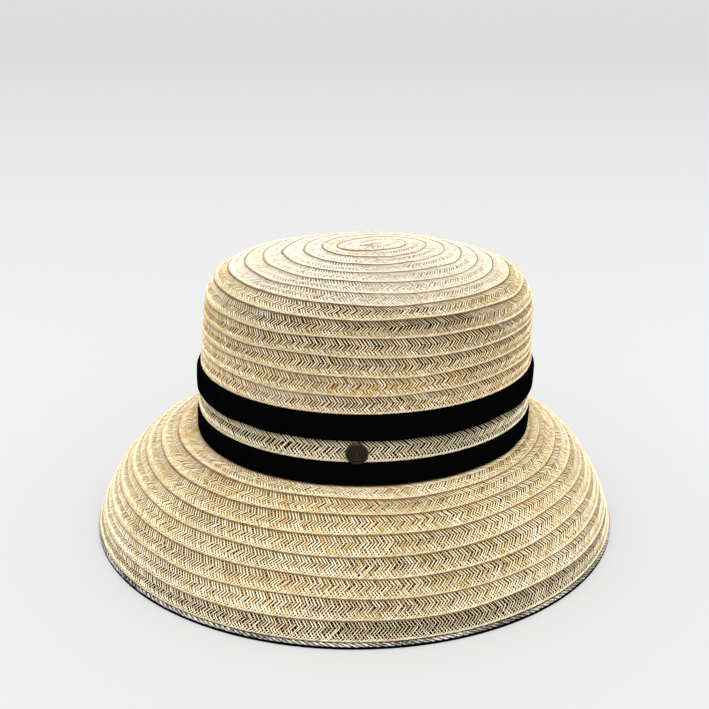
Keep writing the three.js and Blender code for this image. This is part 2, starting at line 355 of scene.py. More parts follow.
CAMERA_AIM = (0, 0, 0.104)
CAMERA_DISTANCE = 0.607
CAMERA_ELEVATION = math.radians(22.8)
SENSOR_WIDTH, LENS, FARTHEST = 36, 50.8, 50
SKY_STRENGTH = 1.15
SUN_TILT, SUN_ROLL, SUN_SPREAD = math.radians(35), math.radians(3), math.radians(35)
SUN_STRENGTH = 2.95
LAMP_BACK, LAMP_UP, LAMP_TILT = -0.1, 0.2, math.radians(85)
LAMP_SIZE, LAMP_STRENGTH = 0.8, 1.3
FLOOR_SIZE = 16
# Painted shade: the floor is painted darker towards the back.
FLOOR_NEAR, FLOOR_FAR = (0.455, 0.456, 0.46, 1), (0.37, 0.369, 0.373, 1)
FADE_START, FADE_END = 0.1, 2.4         # towards the back, where the floor gets darker
MAT_LIFT, MAT_SET_IN = 0.3 * MM, 6 * MM
UNDER_HAT_SHADE = (0.012, 0.009, 0.006, 1)


def camera():
    back = CAMERA_DISTANCE * math.cos(CAMERA_ELEVATION)
    up = CAMERA_DISTANCE * math.sin(CAMERA_ELEVATION)
    bpy.ops.object.camera_add(location=(CAMERA_AIM[0], -back, CAMERA_AIM[2] + up),
                              rotation=(math.pi / 2 - CAMERA_ELEVATION, 0, 0))
    made = bpy.context.object
    made.data.sensor_width = SENSOR_WIDTH
    made.data.lens = LENS
    made.data.clip_end = FARTHEST
    bpy.context.scene.camera = made


def studio_light():
    world = bpy.data.worlds.new("studio")
    world.use_nodes = True
    bpy.context.scene.world = world
    background = world.node_tree.nodes["Background"]
    background.inputs["Color"].default_value = (1, 1, 1, 1)
    background.inputs["Strength"].default_value = SKY_STRENGTH
    bpy.ops.object.light_add(type="SUN", rotation=(SUN_TILT, SUN_ROLL, 0))
    sun = bpy.context.object.data
    sun.energy = SUN_STRENGTH
    sun.angle = SUN_SPREAD
    for side in (-1, 1):
        bpy.ops.object.light_add(type="AREA", location=(side, LAMP_BACK, LAMP_UP),
                                 rotation=(0, side * LAMP_TILT, 0))
        bpy.context.object.data.size = LAMP_SIZE
        bpy.context.object.data.energy = LAMP_STRENGTH
    bpy.context.scene.view_settings.view_transform = "Standard"


def floor():
    bpy.ops.mesh.primitive_plane_add(size=FLOOR_SIZE)
    made = bpy.context.object
    made.name = "studio_floor"
    surface, tree, shader = new_material("floor paint")
    place = node(tree, "ShaderNodeTexCoord").outputs["Object"]
    parts = node(tree, "ShaderNodeSeparateXYZ")
    tree.links.new(place, parts.inputs[0])
    fade = node(tree, "ShaderNodeMapRange")
    fade.inputs["From Min"].default_value = FADE_START
    fade.inputs["From Max"].default_value = FADE_END
    tree.links.new(parts.outputs["Y"], fade.inputs["Value"])
    colour = blend_colours(tree, fade.outputs[0], FLOOR_NEAR, FLOOR_FAR)
    tree.links.new(colour, shader.inputs["Base Color"])
    shader.inputs["Roughness"].default_value = 0.9
    shader.inputs["Specular IOR Level"].default_value = 0.1
    made.data.materials.append(surface)


def shade_under_hat():
    """A dark sheet on the floor inside the rim: painted shade standing for the shadow under the
    hat, so that the holes between the straws look dark. It isn't part of the hat."""
    bpy.ops.mesh.primitive_circle_add(vertices=96, radius=1, fill_type="NGON",
                                      location=(0, 0, MAT_LIFT))
    made = bpy.context.object
    made.name = "shade_mat"
    made.scale = (cad_box[1].x - MAT_SET_IN, cad_box[1].y - MAT_SET_IN, 1)
    surface, _, shader = new_material("painted shade mat")
    shader.inputs["Base Color"].default_value = UNDER_HAT_SHADE
    shader.inputs["Specular IOR Level"].default_value = 0
    made.data.materials.append(surface)


# --- Modelling helpers -------------------------------------------------------------------

STRAW_GIRTH = 2.4 * MM          # the length round a straw, on its map
CELL_ASPECT, CELL_FILL = 4, 0.9         # a copy's cell of the bake's map, and its used share


def start_clean():
    if bpy.context.object and bpy.context.object.mode == "EDIT":
        bpy.ops.object.mode_set(mode="OBJECT")
    bpy.ops.object.select_all(action="DESELECT")


def drawn_strand(sides, stations):
    """One straw or ply, drawn out from an end face through its stations. Each station is
    (across, height, width, thickness): the straw lies along Y, with its width along X."""
    start_clean()
    bpy.ops.mesh.primitive_circle_add(vertices=sides, radius=0.5, fill_type="NGON",
                                      rotation=(math.pi / 2, 0, 0),
                                      location=(0, stations[0][0], stations[0][1]))
    bpy.ops.object.transform_apply(location=True, rotation=True, scale=False)
    bpy.ops.object.mode_set(mode="EDIT")
    bpy.ops.mesh.select_all(action="SELECT")
    across, height, width, thick = stations[0]
    bpy.ops.transform.resize(value=(width, 1, thick), center_override=(0, across, height))
    for across_to, height_to, width_to, thick_to in stations[1:]:
        step = (0, across_to - across, height_to - height)
        bpy.ops.mesh.extrude_region_move(TRANSFORM_OT_translate={"value": step})
        bpy.ops.transform.resize(value=(width_to / width, 1, thick_to / thick),
                                 center_override=(0, across_to, height_to))
        across, height, width, thick = across_to, height_to, width_to, thick_to
    bpy.ops.mesh.select_all(action="SELECT")
    bpy.ops.mesh.normals_make_consistent(inside=False)
    bpy.ops.object.mode_set(mode="OBJECT")
    return Strand(bpy.context.object, len(stations), sides)


class Strand:
    """The mesh of a drawn strand as arrays, ready to be copied, with the scratch object gone.
    loops holds the corners of all its faces in a row, and sizes how many each has."""

    def __init__(self, drawn, stations, sides):
        mesh = drawn.data
        self.points = np.array([vertex.co for vertex in mesh.vertices])
        self.loops = np.array([loop.vertex_index for loop in mesh.loops])
        self.sizes = np.array([face.loop_total for face in mesh.polygons])
        # Painted shade: darker towards the braid's middle, where the straws lie against each other.
        depth = (self.points[:, 2] - BRAID_MIDDLE) / (BRAID_THICK / 2)
        self.painted_shade = np.interp(depth, *SHADE_BY_DEPTH)
        bpy.data.objects.remove(drawn)
        bpy.data.meshes.remove(mesh)
        side, station = self.loops % sides, self.loops // sides
        starts = np.cumsum(self.sizes) - self.sizes
        last = np.maximum.reduceat(side, starts) == sides - 1
        wraps = np.repeat(last & (np.minimum.reduceat(side, starts) == 0), self.sizes)
        self.lengthwise = station / (stations - 1)
        self.round = np.where(wraps & (side == 0), sides, side) / sides
        self.reach = np.ptp(self.points[:, 1])


class Bundle:
    """Copies of strands gathered into one mesh."""

    def __init__(self):
        self.parts = {label: [] for label in (
            "points", "loops", "sizes", "tone", "painted_shade", "lengthwise", "round", "reach",
            "cells", "finish")}
        self.count, self.cell_count = 0, 0

    def add(self, strand, placed, tones, finish, shades=1.0):
        """placed is (copies, points, 3). Every copy takes a cell of the bake's map, and shades
        scales each copy's painted shade.
        """
        copies, size = placed.shape[:2]
        corners, faces = len(strand.loops), len(strand.sizes)
        added = {
            "points": placed.reshape(-1, 3),
            "loops": (strand.loops + self.count + np.arange(copies)[:, None] * size).ravel(),
            "sizes": np.tile(strand.sizes, copies),
            "tone": np.repeat(tones, size),
            "painted_shade": np.outer(np.ones(copies) * shades, strand.painted_shade).ravel(),
            "lengthwise": np.tile(strand.lengthwise, copies),
            "round": np.tile(strand.round, copies),
            "reach": np.full(copies * corners, strand.reach),
            "cells": np.repeat(self.cell_count + np.arange(copies), corners),
            "finish": np.full(copies * faces, finish),
        }
        for label, values in added.items():
            self.parts[label].append(values)
        self.count += copies * size
        self.cell_count += copies

    def piece(self, name, materials):
        whole = {label: np.concatenate(values) for label, values in self.parts.items()}
        sizes = whole["sizes"].astype(np.int32)
        mesh = bpy.data.meshes.new(name)
        mesh.vertices.add(len(whole["points"]))
        mesh.vertices.foreach_set("co", whole["points"].astype(np.float32).ravel())
        mesh.loops.add(len(whole["loops"]))
        mesh.loops.foreach_set("vertex_index", whole["loops"].astype(np.int32))
        mesh.polygons.add(len(sizes))
        mesh.polygons.foreach_set("loop_start", np.cumsum(sizes, dtype=np.int32) - sizes)
        mesh.polygons.foreach_set("loop_total", sizes)
        mesh.polygons.foreach_set("use_smooth", np.ones(len(sizes), bool))
        mesh.polygons.foreach_set("material_index", whole["finish"].astype(np.int32))
        mesh.update(calc_edges=True)
        for label in ("tone", "painted_shade"):
            set_attribute(mesh, label, whole[label])
        set_map(mesh, "straw", whole["lengthwise"] * whole["reach"], whole["round"] * STRAW_GIRTH)
        set_map(mesh, "OFBake", *self.bake_cells(whole))
        for material in materials:
            mesh.materials.append(material)
        return add_object(name, mesh)

    def bake_cells(self, whole):
        """Each copy's own cell of the unit square, four times as long as it is high."""
        columns = max(1, round(math.sqrt(self.cell_count / CELL_ASPECT)))
        rows = math.ceil(self.cell_count / columns)
        across, up = whole["cells"] % columns, whole["cells"] // columns
        return ((across + CELL_FILL * whole["lengthwise"]) / columns,
                (up + CELL_FILL * whole["round"]) / rows)


def add_object(name, mesh):
    made = bpy.data.objects.new(name, mesh)
    bpy.context.scene.collection.objects.link(made)
    return made


def set_attribute(mesh, name, values):
    layer = mesh.attributes.new(name, "FLOAT", "POINT")
    layer.data.foreach_set("value", values.astype(np.float32))


def set_map(mesh, name, along, across):
    layer = mesh.uv_layers.new(name=name, do_init=False)
    layer.uv.foreach_set("vector", np.stack([along, across], -1).astype(np.float32).ravel())


# --- The braid -----------------------------------------------------------------------------

# Across the braid, from its lower edge: the shares at which the straws that lean one way
# dive under those that lean the other way.
CROSSINGS = (0.20, 0.40, 0.67)
DIVE = 0.035                    # half the share over which a straw changes level
TAIL = 1.45                     # a straw's upper end, tucked under the next row
STRAW_START = 0.4 * MM          # a straw's lower end, from the row's edge
LEAN = math.radians(40)
LEVEL_OVER, LEVEL_UNDER, LEVEL_END = -0.26 * MM, -0.70 * MM, -0.5 * MM
STRAW_THICK = 0.46 * MM
BRAID_MIDDLE = (LEVEL_OVER + LEVEL_UNDER) / 2
BRAID_THICK = LEVEL_OVER - LEVEL_UNDER + STRAW_THICK
TUCK_DROP, TUCK_SHARE = 0.35 * MM, 0.08
FOLD_LENGTH, FOLD_RISE, FOLD_WIDTH = 3.1 * MM, 1.25 * MM, 0.82 * MM
# The folds get this share of the straws' painted shade.
FOLD_SHADE = 0.5

# The painted shade on a straw from the inside of the braid (-1) through its middle to the outside.
SHADE_BY_DEPTH = ((-1, 0, 0.25, 1), (0.5, 1, 0.45, 0))
# The painted shade between the straws by share: painted lighter where the row below lies behind.
PAINTED_SHADE_BY_SHARE = ((0.3, 0.48, 0.97, 1.03), (0.32, 1, 1, 0.25))
# Painted shade: all points this far inside the braid's middle get one painted shade, which darkens
# the hat's inside.
INNER_SIDE = 0.25 * MM          # what lies this far inside the braid's middle is shaded alike

SPIRAL_EASE = 0.85              # how much of the spiral's climb is gathered at the back
BACK = math.pi / 2
STEP_EASE = (SIDE_ROWS + 0.3, SIDE_ROWS + 2)   # rows over which the crown's step eases off
THINNEST = 0.12                 # the share of a row's width below which nothing is laid
WAVE_COUNT, WAVE_PACE = 5, 2.3  # waves in the seams' sway, and the slowest one's in a turn

# How uneven the braid is. Spreads of place and bow are shares of the spacing, and those of
# width and wander are shares of a straw's width and the row's.
PATCH_LENGTH = 25 * MM
PLACE_SPREAD, BOW_SPREAD, LIFT_SPREAD = 0.08, 0.06, 0.035 * MM
WIDTH_PATCHES, WIDTH_SPREAD, WIDTH_LIMITS = 0.11, 0.12, (0.45, 1.03)
WANDER_PATCHES, WANDER_SPREAD = 0.022, 0.02
TONE_PATCHES, TONE_SPREAD = 0.08, 0.19
# Painted light: away from the badge's side, calm also lightens the straws' painted shade.
CALM_FILL, CALM_SHADE = 0.6, 0.35       # how far calm narrows the holes and lightens them
FOLD_PLACE_SPREAD, FOLD_TONE_SPREAD = 0.06, 0.2
FOLD_ACROSS_SPREAD, FOLD_LIFT_SPREAD = 0.06 * MM, 0.04 * MM

THREAD_WIDTH, RIM_THREAD_WIDTH, THREAD_THICK = 0.42 * MM, 0.62 * MM, 0.4 * MM
THREAD_STEP, THREAD_ACROSS, THREAD_OUT = 3.2 * MM, -0.1 * MM, -0.02 * MM
THREAD_PULLS = (21 * MM, 8 * MM)        # lengths over which the thread is pulled in and out
THREAD_SWELL, THREAD_SWELL_LIMITS = (0.85, 0.28, 0.2), (0.25, 1.5)   # usual, pull, spread
THREAD_SWAY, THREAD_LIFT = 0.2, 0.06    # spreads, as shares of its width and thickness
THREAD_TONE, THREAD_TONE_SPREAD = 0.3, 0.3


COVER, EDGE, STITCH = 0, 1, 2   # the slots of a row's finishes
STRAW_SIDES = 3


def braid_straws(pitch, width, inside=0.5, shade=1.0):
    """The two straws of a braid: one over at its lowest crossing band, the other under. shade
    scales their painted shade, and inside is the painted shade of their inner points.
    """
    straws = []
    for over_first in (True, False):
        level = [LEVEL_OVER, LEVEL_UNDER] if over_first else [LEVEL_UNDER, LEVEL_OVER]
        stations = [(STRAW_START / pitch, LEVEL_END, 0.7, 0.8)]
        for i, share in enumerate(CROSSINGS):
            stations.append((share - DIVE, level[i % 2], 1, 1))
            stations.append((share + DIVE, level[(i + 1) % 2], 1, 1))
        stations.append((TAIL, LEVEL_UNDER, 0.8, 0.8))
        straw = drawn_strand(STRAW_SIDES, [(share * pitch, height, width * w, STRAW_THICK * t)
                                 for share, height, w, t in stations])
        # Painted shade: scaled by shade and by the share across the row, and set to inside on the
        # inner points.
        straw.painted_shade *= shade * np.interp(straw.points[:, 1] / pitch, *PAINTED_SHADE_BY_SHARE)
        straw.painted_shade[straw.points[:, 2] < BRAID_MIDDLE - INNER_SIDE] = inside
        straw.painted_shade = straw.painted_shade.clip(0, 1)
        straws.append(straw)
    return straws


class Braid:
    """A braid sewn round in a spiral. Its rows are counted up from the lowest seam, and
    turns are counted from the back. Each row climbs by one in a turn, mostly at the back.
    calm is how much fuller the straws get away from the side with the badge, and how much lighter
    their painted shade is there."""

    SAMPLES = 720

    def __init__(self, line, seam_at, top, turns, wobble, seed, overrun=0.0,
                 top_step=ROW_STEP, calm=0.2):
        self.line, self.seam_at, self.top, self.overrun = line, seam_at, top, overrun
        self.top_step, self.calm = top_step, calm
        waves = np.random.default_rng(seed)
        self.waves = [(waves.uniform(0.5, 1) * wobble / (i + 1),
                       WAVE_PACE * (i + 1) + waves.uniform(0, 1),
                       waves.uniform(0, TURN)) for i in range(WAVE_COUNT)]
        self.turns = np.linspace(*turns, int((turns[1] - turns[0]) * self.SAMPLES) + 1)
        middle = self.place(self.turns, np.full_like(self.turns, 0.5), 0)
        steps = np.linalg.norm(np.diff(middle, axis=0), axis=1)
        self.lengths = np.concatenate([[0], np.cumsum(steps)])

    def seam(self, turns):
        """The row at which the braid's lower edge lies after these turns."""
        climb = turns + SPIRAL_EASE * np.sin(TURN * turns) / TURN - 0.5
        sway = sum(size * np.sin(TURN * pace * turns + start) for size, pace, start in self.waves)
        near_edge = np.clip(climb, 0, 1) * np.clip(self.top - climb, 0, 1)
        return np.clip(climb + sway * near_edge, 0, self.top)

    def edges(self, turns):
        return self.seam(turns), self.seam(turns + 1)

    def step(self, turns):
        return np.interp(self.edges(turns)[0], STEP_EASE, (ROW_STEP, self.top_step))

    def place(self, turns, share, out):
        """Points on the hat: share is 0 at the braid's lower edge and 1 at the next seam."""
        low, high = self.edges(turns)
        row = np.clip(low + share * (high - low), 0, self.top + self.overrun)
        tucked = TUCK_DROP * np.clip((share - 1) / TUCK_SHARE, 0, 1)
        proud = self.step(turns) * (1 - share) - tucked
        half_width, height = self.line.at(self.seam_at(row), proud + out)
        return to_hat(np.maximum(half_width, 1e-5), BACK + TURN * turns, height)

    def turns_at(self, length):
        return np.interp(length, self.lengths, self.turns)

    def length_at(self, turns):
        return np.interp(turns, self.turns, self.lengths)

    def width_at(self, turns):
        low, high = self.edges(turns)
        return high - low


class BraidRing(Braid):
    """One row that closes on itself."""

    def edges(self, turns):
        return np.zeros_like(turns), np.ones_like(turns)


def lay_straws(bundle, braid, straws, first, last, pitch, spacing, body, tone, rng):
    """Lays both kinds of straw along the braid between two turns."""
    start, end = braid.length_at(first), braid.length_at(last)
    count = max(1, round((end - start) / spacing))
    paces, starts = rng.uniform(0.4, 1.6, 4) / PATCH_LENGTH, rng.uniform(0, TURN, 4)

    def patches(along):
        return np.sin(along[:, None] * paces + starts).sum(1) / 2

    for straw, side in zip(straws, (1, -1)):
        along = start + (np.arange(count) + 0.25 * side + 0.5) * (end - start) / count
        along = along + rng.normal(0, PLACE_SPREAD * spacing, count)
        along = along[braid.width_at(braid.turns_at(along)) > THINNEST]
        if not len(along):
            continue
        size = len(along)
        x, y, z = straw.points.T
        aside = braid.calm * (1 - np.cos(TURN * (braid.turns_at(along) - 0.5))) / 2
        fullness = body + WIDTH_PATCHES * patches(along) + (1 - body) * CALM_FILL * aside
        fullness = (fullness + rng.normal(0, WIDTH_SPREAD, size)).clip(*WIDTH_LIMITS)
        wide = x * fullness[:, None]
        bow = rng.normal(0, BOW_SPREAD, size)[:, None] * spacing * np.sin(math.pi * y / pitch)
        wander = WANDER_SPREAD * rng.normal(0, 1, size) + WANDER_PATCHES * patches(along / 2)
        swing = pitch * wander[:, None] * np.sin(math.pi * (y / pitch).clip(0, 1))
        across = y + swing - side * wide * math.sin(LEAN)
        middle = y.mean()
        sideways = side * (y - middle) * math.tan(LEAN) + wide * math.cos(LEAN) + bow
        lift = rng.normal(0, LIFT_SPREAD, size)[:, None]
        turns = braid.turns_at(along[:, None] + sideways)
        placed = braid.place(turns, across / pitch, z + lift)
        tones = tone + TONE_PATCHES * patches(along / 3) + rng.normal(0, TONE_SPREAD, size)
        # Painted shade, lightened by calm away from the badge's side.
        bundle.add(straw, placed, tones.clip(0, 1), COVER, 1 - CALM_SHADE * aside)


def lay_thread(bundle, braid, width, first, last, pitch, rng):
    """The seam's thread along the braid's lower edge, as short spans that meet end to end. Above
    the rim its colour also stands for painted shade in the seam.
    """
    start, end = braid.length_at(first), braid.length_at(last)
    count = max(1, round((end - start) / THREAD_STEP))
    ends = np.linspace(start, end, count + 1)
    sway = rng.normal(0, 1, (2, count + 1))
    slow, quick = THREAD_PULLS
    pull = np.sin(ends / slow) + np.sin(ends / quick + rng.uniform(0, TURN))
    usual, pulled, spread = THREAD_SWELL
    swell = usual + pulled * pull + spread * rng.normal(0, 1, count + 1)
    swell = swell.clip(*THREAD_SWELL_LIMITS)
    corners = np.array([(0, 0.5), (0.43, -0.25), (-0.43, -0.25)])
    turns = braid.turns_at(ends)
    across = THREAD_ACROSS + THREAD_SWAY * width * sway[0][:, None]
    across = across + corners[None, :, 0] * (width * swell)[:, None]
    out = THREAD_OUT + THREAD_LIFT * THREAD_THICK * sway[1][:, None]
    out = out + corners[None, :, 1] * THREAD_THICK - braid.step(turns)[:, None]
    rings = braid.place(turns[:, None], across / pitch, out)
    spans = np.concatenate([rings[:-1], rings[1:]], axis=1)
    wide_enough = braid.width_at(turns)[:-1] > THINNEST
    tones = (THREAD_TONE + rng.normal(0, THREAD_TONE_SPREAD, count)).clip(0, 1)
    bundle.add(thread_span, spans[wide_enough], tones[wide_enough], STITCH)


def lay_folds(bundle, braid, first, last, pitch, spacing, tone, rng):
    """The braid's lower edge, where its straws turn back: short straws laid slantwise along
    it, each over the one before."""
    start, end = braid.length_at(first), braid.length_at(last)
    count = max(1, round((end - start) / spacing))
    along = start + (np.arange(count) + 0.5) * (end - start) / count
    along = along + rng.normal(0, FOLD_PLACE_SPREAD * spacing, count)
    along = along[braid.width_at(braid.turns_at(along)) > THINNEST]
    if not len(along):
        return
    size = len(along)
    x, y, z = braid_fold.points.T
    slant = FOLD_RISE / FOLD_LENGTH
    across = FOLD_WIDTH / 2 + y * slant - x + rng.normal(0, FOLD_ACROSS_SPREAD, size)[:, None]
    lift = rng.normal(0, FOLD_LIFT_SPREAD, size)[:, None]
    turns = braid.turns_at(along[:, None] + y - FOLD_LENGTH / 2)
    placed = braid.place(turns, across / pitch, z + lift)
    tones = (tone + rng.normal(0, FOLD_TONE_SPREAD, size)).clip(0, 1)
    bundle.add(braid_fold, placed, tones, EDGE)


def braid_row(name, braid, straws, first, last, pitch, spacing, stitch, seed, body, tone,
              cover, thread=THREAD_WIDTH):
    """body is how wide the straws are here against the usual, and less leaves wider holes.
    tone is how deep their colour is, and stitch is the seam thread's finish, if any."""
    rng = np.random.default_rng(seed)
    bundle = Bundle()
    lay_straws(bundle, braid, straws, first, last, pitch, spacing, body, tone, rng)
    lay_folds(bundle, braid, first, last, pitch, spacing, tone, rng)
    if stitch:
        lay_thread(bundle, braid, thread, first, last, pitch, rng)
    return bundle.piece(name, [cover, selvage, stitch or brown_thread_and_seam_shade])


# --- The pieces ----------------------------------------------------------------------------

def drawn_ring(name, section, segments=288):
    """A ring with a closed section: a circle drawn out through the section's points and
    joined to its start. The section is in half-width and height."""
    start_clean()
    radius, height = section[0]
    bpy.ops.mesh.primitive_circle_add(vertices=segments, radius=radius, location=(0, 0, height))
    bpy.ops.object.transform_apply(location=True, rotation=False, scale=False)
    bpy.ops.object.mode_set(mode="EDIT")
    bpy.ops.mesh.select_all(action="SELECT")
    for radius_to, height_to in [*section[1:], section[0]]:
        bpy.ops.mesh.extrude_edges_move(
            TRANSFORM_OT_translate={"value": (0, 0, height_to - height)})
        bpy.ops.transform.resize(value=(radius_to / radius, radius_to / radius, 1),
                                 center_override=(0, 0, height_to))
        radius, height = radius_to, height_to
    bpy.ops.mesh.select_all(action="SELECT")
    bpy.ops.mesh.remove_doubles(threshold=0.001 * MM)
    bpy.ops.mesh.normals_make_consistent(inside=False)
    bpy.ops.object.mode_set(mode="OBJECT")
    made = bpy.context.object
    made.name = made.data.name = name
    return made


def cloth_maps(piece, section):
    """The ring's own map in metres, and the same filling the unit square for the bake."""
    mesh = piece.data
    points = np.array([vertex.co for vertex in mesh.vertices])
    corners = np.array([loop.vertex_index for loop in mesh.loops]).reshape(-1, 4)
    angle = np.arctan2(points[:, 1], points[:, 0])[corners] % TURN
    angle = np.where((np.ptp(angle, axis=1) > math.pi)[:, None] & (angle < math.pi),
                     angle + TURN, angle)
    outline = np.array(section)
    flat = np.stack([np.hypot(points[:, 0], points[:, 1]), points[:, 2]], -1)
    nearest = np.linalg.norm(flat[:, None] - outline[None], axis=2).argmin(1)
    steps = np.linalg.norm(np.diff(outline, axis=0, append=outline[:1]), axis=1)
    reach = np.concatenate([[0], np.cumsum(steps)])
    at = nearest[corners]
    at = np.where((np.ptp(at, axis=1) > 1)[:, None] & (at == 0), len(outline), at)
    set_map(mesh, "cloth", (angle * HEAD_HALF_WIDTH).ravel(), reach[at].ravel())
    set_map(mesh, "OFBake", (angle / TURN / 1.01).ravel(), (reach[at] / reach[-1]).ravel())


def bend_to_hat(piece, ripple=None):
    """Carries a ring from circles to the hat's oval. ripple(angle, height) moves it out and up."""
    mesh = piece.data
    points = np.array([vertex.co for vertex in mesh.vertices])
    half_width, angle = np.hypot(points[:, 0], points[:, 1]), np.arctan2(points[:, 1], points[:, 0])
    height = points[:, 2]
    if ripple:
        out, up = ripple(angle, height)
        half_width, height = half_width + out, height + up
    mesh.vertices.foreach_set("co", to_hat(half_width, angle, height).astype(np.float32).ravel())
    mesh.update()
    start_clean()
    piece.select_set(True)
    bpy.context.view_layer.objects.active = piece
    bpy.ops.object.shade_smooth_by_angle(angle=math.radians(45))


def soft_waves(seed, size, count=9):
    """A closed, seeded waviness round the hat, as a function of the angle."""
    rng = np.random.default_rng(seed)
    waves = [(rng.integers(3, 26), rng.uniform(0, TURN), rng.normal(0, 1)) for _ in range(count)]
    scale = size / math.sqrt(count)
    return lambda angle: scale * sum(a * np.sin(n * angle + start) for n, start, a in waves)


def wear(piece, slot, *nodes):
    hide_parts(*nodes)
    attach(piece, "root")
    return piece


BRAID_WOBBLE = 0.08             # sway of the crown's and the brim's seams, in rows
SPIRAL_LEAD, BRAID_START = -0.6, -0.5   # where the spiral and the straws on it start, in turns
CROWN_SPIRAL_END, CROWN_TURNS = 14.2, 13.4
BRIM_RUN_OUT, BRIM_END, BRIM_OVERRUN = 1.2, 0.5, 0.16   # past the last whole row
BRIM_TUCK = 1.6 * MM            # how far the brim's braid goes on up under the ribbon
CROWN_SPACING, MIDDLE_SPACING = 1.75 * MM, 2.0 * MM
BRIM_SPACING = ((2, BRIM_ROWS), (1.95, 1.75))           # mm, by turn
CROWN_BODY = [0.88, 0.9, 0.84, 0.74, 0.68, 0.78, 0.9]   # by turn, and the rest are full
BRIM_BODY = ((0, 1, 4), (0.48, 0.82, 0.9))
# Painted light: the tone gets paler up over the tip, standing for the strong light from above.
CROWN_TONE = ((0, SIDE_ROWS - 1, SIDE_ROWS + 3), (0.5, 0.42, 0.2))
BRIM_TONE = ((0, 2, BRIM_ROWS), (0.2, 0.42, 0.5))


def crown_cover(turn):
    # Turns 2 to 5 get near-black painted shade, and the later turns get the tip's painted top
    # light.
    if turn > SIDE_ROWS:
        return top_lit_straw
    return black_shaded_straw if turn >= 2 else straw


def crown_rows():
    """The rows round the side, and the braid's turns over the tip to its middle."""
    top = SIDE_ROWS + (crown_line.length - SIDE_ROWS * SIDE_PITCH) / TIP_PITCH

    def seam_at(row):
        side = np.minimum(row, SIDE_ROWS) * SIDE_PITCH
        return np.minimum(side + np.maximum(row - SIDE_ROWS, 0) * TIP_PITCH,
                          crown_line.length - 0.2 * MM)

    braid = Braid(crown_line, seam_at, top, (SPIRAL_LEAD, CROWN_SPIRAL_END), BRAID_WOBBLE,
                  seed=11, top_step=TIP_STEP, calm=1.0)
    side_straws = braid_straws(SIDE_PITCH, width=MM, inside=1, shade=1.2)
    tip_straws = braid_straws(SIDE_PITCH, width=1.02 * MM, inside=0.8, shade=0.8)
    for turn in range(math.ceil(CROWN_TURNS)):
        on_side = turn < SIDE_ROWS
        made = braid_row(
            f"side_row_{turn + 1}" if on_side else f"tip_row_{turn + 1 - SIDE_ROWS}", braid,
            side_straws if turn <= SIDE_ROWS else tip_straws,
            first=turn if turn else BRAID_START, last=min(turn + 1, CROWN_TURNS),
            pitch=SIDE_PITCH, spacing=CROWN_SPACING, stitch=None if on_side else tan_thread_and_seam_shade,
            seed=100 + turn, body=CROWN_BODY[turn] if turn < len(CROWN_BODY) else 1.0,
            tone=np.interp(turn, *CROWN_TONE), cover=crown_cover(turn))
        wear(made, "straw", "crown")


def brim_rows():
    """The rows of the bell, from the rolled edge up to under the lower ribbon."""
    lowest = BRIM_LENGTH - FACING_FOOT - GAP - 2 * EDGE_RADIUS

    def seam_at(row):
        return np.maximum(lowest - row * BRIM_PITCH, -BRIM_TUCK)

    braid = Braid(brim_line, seam_at, BRIM_ROWS, (SPIRAL_LEAD, BRIM_ROWS + BRIM_RUN_OUT),
                  BRAID_WOBBLE, seed=12, overrun=BRIM_OVERRUN)
    straws = braid_straws(BRIM_PITCH, width=1.1 * MM)
    for turn in range(BRIM_ROWS + 1):
        at_rim = turn == 0
        made = braid_row(
            f"brim_row_{turn + 1}", braid, straws,
            first=BRAID_START if at_rim else turn, last=min(turn + 1, BRIM_ROWS + BRIM_END),
            pitch=BRIM_PITCH, spacing=np.interp(turn, *BRIM_SPACING) * MM,
            stitch=black_thread if at_rim else brown_thread_and_seam_shade, seed=200 + turn,
            body=np.interp(turn, *BRIM_BODY), tone=np.interp(turn, *BRIM_TONE),
            cover=black_shaded_straw if at_rim else straw,
            thread=RIM_THREAD_WIDTH if at_rim else THREAD_WIDTH)
        wear(made, "straw", "brim")


def middle_row():
    pitch = BRAID_TOP_Z - LOWER_TOP_Z
    braid = BraidRing(band_line, lambda row: row * pitch, 1.2, (-0.1, 1.1), 0, seed=13)
    straws = braid_straws(pitch, width=1.02 * MM, inside=1)
    made = braid_row("middle_row", braid, straws, first=0, last=1, pitch=pitch,
                     spacing=MIDDLE_SPACING, stitch=None, seed=300, body=0.5, tone=0.06,
                     cover=black_shaded_straw)
    wear(made, "straw", "middle_braid")


# The outer side of a ribbon 14 mm high, from its foot up: the height in mm, and how far out
# it stands as a share of RIBBON_PROUD.
RIBBON_OUTLINE_HEIGHT = 14
RIBBON_OUTLINE = [(0, 0.55), (0.15, 0.85), (0.6, 1), (4.9, 1.08), (9.1, 1.06),
                  (11.0, 0.98), (12.2, 0.75), (13.1, 0.35)]
RIBBON_FOOT, RIBBON_PUCKER, RIBBON_SAG = 0.2 * MM, 0.12 * MM, 0.2 * MM
# Flat sizes of the strips in metres, where they aren't worked out.
FACING_ROUND = 0.15 * MM


def round_band(out, height):
    return (HEAD_HALF_WIDTH + out, height)


